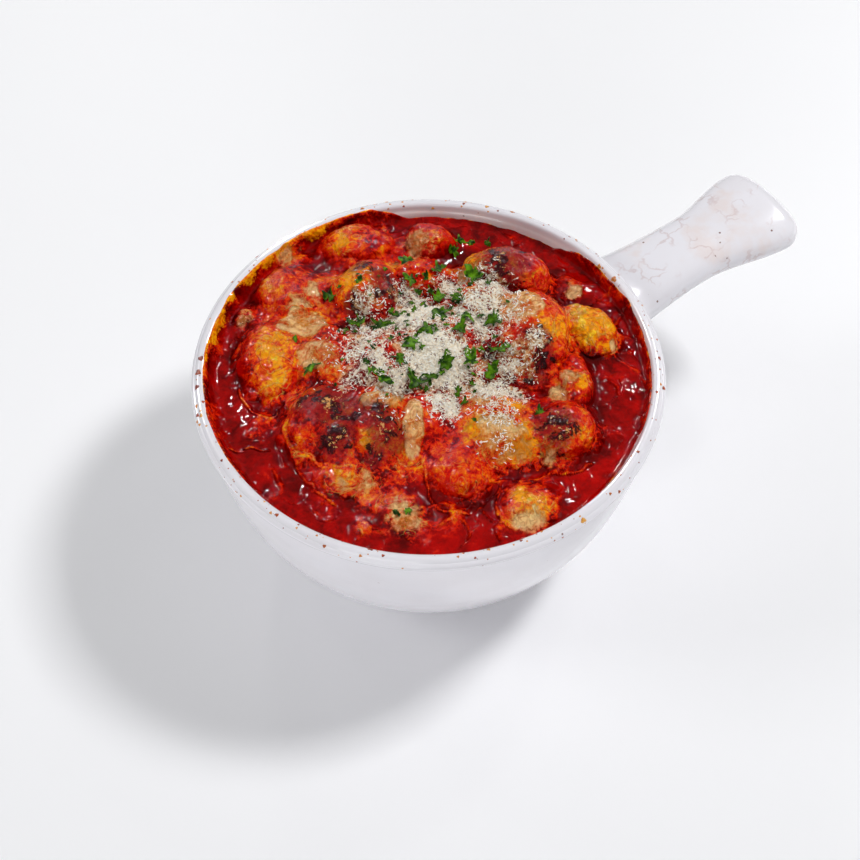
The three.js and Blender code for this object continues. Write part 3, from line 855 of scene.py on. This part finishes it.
puddles = []
for k, (name, (cx, cy, half_length, half_width, turn)) in enumerate(CHEESE.items()):
    spin = full_turn(PUDDLE_STEPS)
    out = np.linspace(0.02, PUDDLE_REACH, PUDDLE_RINGS)[:, None]
    c, s = np.cos(np.radians(turn)), np.sin(np.radians(turn))
    along, across = out * half_length * np.cos(spin), out * half_width * np.sin(spin)
    x, y = cx + along * c - across * s, cy + along * s + across * c
    flat = np.stack([x, y], -1)
    thick = 1.3 - 1.5 * out ** 3 + 0.8 * wobble(flat, 5, 50 + k) + 0.3 * wobble(flat, 2.2, 60 + k)
    thick = np.where(out > PUDDLE_REACH - 0.02, -0.9, 0.9 * np.tanh(thick))
    top = np.stack([x, y, look_up(draped, x, y) + thick + PUDDLE_LIFT], -1)
    bottom = np.stack([x, y, look_up(draped, x, y) - PUDDLE_DEPTH], -1)[::-1]
    piece = put_mesh("mozzarella_" + name + "_melted", *skin(np.concatenate([top, bottom]), flip=True))
    x, y, z = points_of(piece).T
    body = np.concatenate([thick.ravel(), thick[::-1].ravel(), [1, 1]])
    dress(piece, pale=0.12 + 0.66 * ease((body + 0.2) / 0.9), thin=np.full(len(x), 0.6))
    piece.data.materials.append(baked_dish)
    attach(piece, "root")
    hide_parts("mozzarella_" + name)
    puddles.append(piece)

# ---- Grated cheese -------------------------------------------------------------------------------
# Hard cheese grated over the hot dish: thousands of short bent splinters, three-sided and pointed at
# both ends, heaped in the middle and sparse towards the edges of the heap.

SHRED_TRIES = 150000
SHREDS = 21000
HEAP_HALF_WIDTH = 45
SHRED_LENGTHS = (0.4, 3.4)
SHRED_GIRTHS = (0.1, 0.24)
CORNERS_EACH = 5

chance = np.random.default_rng(11)

ground = height_map([sauce, *gnocchi, *puddles])
tries = chance.uniform(-HEAP_HALF_WIDTH, HEAP_HALF_WIDTH, (SHRED_TRIES, 2))
heap = baked("snow", tries[:, 0], tries[:, 1])
patchy = (0.6 + 0.8 * wobble(tries, 4, 60)) * (0.7 + 0.7 * wobble(tries, 1.5, 61))
likely = 0.75 * heap ** 1.5 * (patchy * (1 - heap ** 2) + heap ** 2)
kept = np.flatnonzero(chance.random(SHRED_TRIES) < likely)[:SHREDS]
spots, heap = tries[kept], heap[kept]
count = len(spots)
length = np.clip(chance.lognormal(0.1, 0.45, count), *SHRED_LENGTHS)
girth = chance.uniform(*SHRED_GIRTHS, count)
yaw, roll = chance.uniform(0, 2 * np.pi, (2, count))
tilt = chance.normal(0, 0.22, count)
lift = look_up(ground, spots[:, 0], spots[:, 1]) + 0.05 + chance.random(count) * 0.3 * heap

corner = np.radians([90, 210, 330]) + roll[:, None]
bend = chance.normal(0, 0.22, count) * length
lean = chance.uniform(-0.2, 0.2, count) * length
tip = np.stack([length / 2, 0 * length, 0 * length], -1)[:, None]
belt = np.stack([lean[:, None] + 0 * corner, bend[:, None] + girth[:, None] * np.cos(corner),
                 girth[:, None] * np.sin(corner)], -1)
splinter = np.concatenate([tip, belt, -tip], 1)
x = splinter[..., 0] * np.cos(tilt)[:, None] - splinter[..., 2] * np.sin(tilt)[:, None]
z = splinter[..., 0] * np.sin(tilt)[:, None] + splinter[..., 2] * np.cos(tilt)[:, None]
c, s = np.cos(yaw)[:, None], np.sin(yaw)[:, None]
shreds = np.stack([spots[:, :1] + x * c - splinter[..., 1] * s, spots[:, 1:] + x * s + splinter[..., 1] * c,
                   lift[:, None] + z], -1)
sides = np.array([(0, 1, 2), (0, 2, 3), (0, 3, 1), (4, 2, 1), (4, 3, 2), (4, 1, 3)])
faces = sides + CORNERS_EACH * np.arange(count)[:, None, None]
grated = put_mesh("grated_cheese", shreds.reshape(-1, 3), (), faces)
grated.data.polygons.foreach_set("use_smooth", np.zeros(len(sides) * count, bool))
store(grated, "shade", np.repeat(chance.random(count), CORNERS_EACH))
hard_cheese = Finish("grated_hard_cheese", Roughness=0.5, Specular_IOR_Level=0.2)
shade = hard_cheese.painted("shade")
cream = hard_cheese.mix(shade, paint(252, 240, 216), paint(255, 255, 250))
toasting = hard_cheese.noise(5, 2).between(0.52, 0.75) * (1 - shade)
hard_cheese.wear(Base_Color=hard_cheese.mix(toasting * 0.5, cream, paint(232, 176, 118)))
grated.data.materials.append(hard_cheese.material)
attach(grated, "root")

# ---- Parsley -------------------------------------------------------------------------------------
# Flat leaves chopped into bits of 2 to 6 mm, curled, dropped on last. The large bits have their own
# places, as (x, y, radius); the crumbs of leaf are strewn between them.

LEAVES = [(-29, 17, 2.8), (-9, 25, 2.9), (-4, 19, 3.0), (-16, -1, 3.1), (-8, -6, 2.8), (-9, 1, 1.8),
          (-10, 37, 2.0), (12, 27, 2.0), (37, 38, 1.7), (40, 36, 1.5), (44, 33, 1.2), (28, 18, 2.5),
          (18, 11, 2.7), (16, 18, 2.1), (9, 8, 3.0), (3, 5, 2.2), (-3, 4, 2.4), (11, 0, 2.3), (22, -1, 2.5),
          (18, -9, 2.9), (9, -8, 2.8), (2, -6, 2.3), (-32, -37, 1.3), (-35, -36, 1.3), (15, 34, 2.2),
          (21, 26, 2.2), (2, 19, 2.0), (-4, -7, 1.9), (33, 35, 1.7), (15, -33, 1.4), (15, 4, 2.4),
          (13, -13, 2.0)]
CRUMBS = 90
LEAF_RINGS = 5
LEAF_STEPS = 40
LEAF_THICKNESS = 0.16
LEAF_LIFT = 0.45


def put_copies(name, rows, shades):
    """One mesh of many closed skins, each from its own rows of points, with a shade for each."""
    skins = [skin(own, flip=True) for own in rows]
    each = len(skins[0][0])
    points, quads, fans = ([one[part] for one in skins] for part in range(3))
    piece = put_mesh(name, np.concatenate(points), *(
        np.concatenate([face + i * each for i, face in enumerate(faces)]) for faces in (quads, fans)))
    store(piece, "shade", np.repeat(shades, each))
    return piece


ground = height_map([sauce, *gnocchi, *puddles, grated])
crumbs = np.column_stack([chance.normal(3, 15, CRUMBS), chance.normal(6, 13, CRUMBS),
                          chance.uniform(0.35, 1.1, CRUMBS)])
leaves = np.concatenate([np.array(LEAVES), crumbs])
count = len(leaves)
lobes = chance.integers(2, 5, count)[:, None]
phase, yaw = chance.uniform(0, 2 * np.pi, (2, count, 1))
spin = full_turn(LEAF_STEPS)[None]
outline = 1 + 0.3 * np.cos(lobes * spin + phase) + 0.2 * np.cos((lobes + 3) * spin - 2 * phase) \
    + 0.13 * np.cos(10 * spin + 3 * phase)
out = np.linspace(0.1, 1, LEAF_RINGS)[None, :, None]
leaf_size = leaves[:, 2, None, None]
reach = leaf_size * out * outline[:, None]
reach_x = reach * np.cos(spin)[:, None]
reach_y = reach * np.sin(spin)[:, None] * chance.uniform(0.55, 0.95, (count, 1, 1))
curl_x, curl_y, lean_x, lean_y = chance.normal(0, 0.36, (4, count, 1, 1))
curl = (curl_x * reach_x ** 2 + (curl_y + 0.08) * reach_y ** 2) / np.maximum(leaf_size, 0.6) * 1.2
crimp = 0.28 * out ** 2 * np.sin(5 * spin[:, None] + phase[..., None]) * np.minimum(leaf_size, 1.5)
rise = np.clip(curl + lean_x * reach_x + lean_y * reach_y + crimp, -1.2, 2.2)
c, s = np.cos(yaw)[..., None], np.sin(yaw)[..., None]
x = leaves[:, 0, None, None] + reach_x * c - reach_y * s
y = leaves[:, 1, None, None] + reach_x * s + reach_y * c
z = look_up(softened(ground, 2), leaves[:, 0], leaves[:, 1])[:, None, None] + LEAF_LIFT + rise
z = np.maximum(z, look_up(ground, x, y) - 0.3)
top = np.stack([x, y, z], -1)
bottom = top[:, ::-1] - (0, 0, LEAF_THICKNESS)
parsley = put_copies("chopped_parsley", np.concatenate([top, bottom], 1), chance.random(count))
leaf_green = Finish("parsley_leaf", Roughness=0.4, Specular_IOR_Level=0.08)
vein = leaf_green.noise(1.2, 3).between(0.35, 0.7)
green = leaf_green.mix(vein, paint(20, 56, 2), paint(110, 164, 24))
green = leaf_green.mix(leaf_green.painted("shade") * 0.6, green, paint(18, 40, 2))
leaf_green.wear(Base_Color=green,
                Normal=leaf_green.bump(leaf_green.noise(1.0, 2), 0.5, 0.9))
parsley.data.materials.append(leaf_green.material)
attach(parsley, "root")

# ---- Specks on the bowl ----------------------------------------------------------------------------
# Sauce that spat on the lip and dried there: a few blots with places of their own, as (angle from the
# handle in degrees, place across the lip from 0 outside to 1 inside, radius, shade from brown to
# golden), and many pinhead spots. Each is a flat dome, sunk a little into the glaze.

BLOTS = [(143.5, 0.6, 1.0, 0.1), (148, 0.55, 1.15, 0.3), (152.5, 0.5, 0.95, 0.0), (158, 0.4, 0.65, 0.8),
         (161.5, 0.5, 0.75, 0.9), (118, 0.9, 1.2, 0.8), (-3, 0.75, 1.1, 0.55), (222, 0.75, 0.9, 0.0),
         (-86, 0.35, 0.9, 1.0), (40, 0.6, 0.7, 0.8), (33, 0.5, 0.8, 0.6), (28, 0.4, 0.6, 0.9),
         (46, 0.5, 0.5, 0.9), (-74, 0.3, 0.5, 0.4), (-110, 0.7, 0.6, 0.9), (-40, 0.5, 0.5, 0.7),
         (3, 0.8, 0.8, 0.7), (196, 0.5, 0.5, 0.6)]
PINHEADS = 230
SPECK_STEPS = 12
SPECK_SINK = 0.25
LIP_LENGTH = 9.0
LIP_RADIUS = 66.0

lip_line = curve_through(LIP, 6)
lip_share = np.concatenate([[0], np.cumsum(np.linalg.norm(np.diff(lip_line, axis=0), axis=1))])
lip_share /= lip_share[-1]
blots = np.concatenate([np.array(BLOTS), np.column_stack([
    chance.uniform(0, 360, PINHEADS), chance.uniform(0.15, 0.95, PINHEADS),
    np.clip(chance.lognormal(-1.35, 0.5, PINHEADS), 0.12, 0.7), chance.random(PINHEADS)])])
angle = np.radians(blots[:, 0])
spin = full_turn(SPECK_STEPS)
ring = np.array([0.35, 0.8, 1.0])[:, None]
edge = 1 + 0.22 * np.cos(3 * spin + blots[:, :1]) + 0.12 * np.cos(5 * spin + 2 * blots[:, :1])
size = blots[:, 2, None, None] * ring * edge[:, None]
place = blots[:, 1, None, None] + size * np.sin(spin) / LIP_LENGTH
theta = angle[:, None, None] + size * np.cos(spin) / LIP_RADIUS
r = np.interp(place, lip_share, lip_line[:, 0])
h = np.interp(place, lip_share, lip_line[:, 1])
dome = np.array([0.16, 0.1, -0.1])[:, None] * np.minimum(blots[:, 2, None, None] * 1.6, 1)
slope = np.interp(place, [0, 0.25, 0.6, 1], [1, 0.6, 0, -1])
up = np.sqrt(np.clip(1 - slope ** 2, 0, 1))
top, bottom = (
    np.stack([(r + off * slope) * np.cos(theta), (r + off * slope) * np.sin(theta), h + off * up], -1)
    for off in (dome, -SPECK_SINK))
specks = put_copies("dried_specks", np.concatenate([top, bottom[:, ::-1]], 1), blots[:, 3])
dried = Finish("dried_sauce", Roughness=0.4, IOR=1.45)
mottle = dried.noise(0.6, 2).between(0.35, 0.65)
brown = dried.mix(mottle, paint(118, 26, 8), paint(176, 66, 16))
golden = dried.mix(mottle, paint(196, 110, 34), paint(230, 172, 84))
dried.wear(Base_Color=dried.mix(dried.painted("shade").between(0.2, 0.8), brown, golden),
           Normal=dried.bump(dried.noise(0.4, 2), 0.1, 0.6))
specks.data.materials.append(dried.material)
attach(specks, "root")
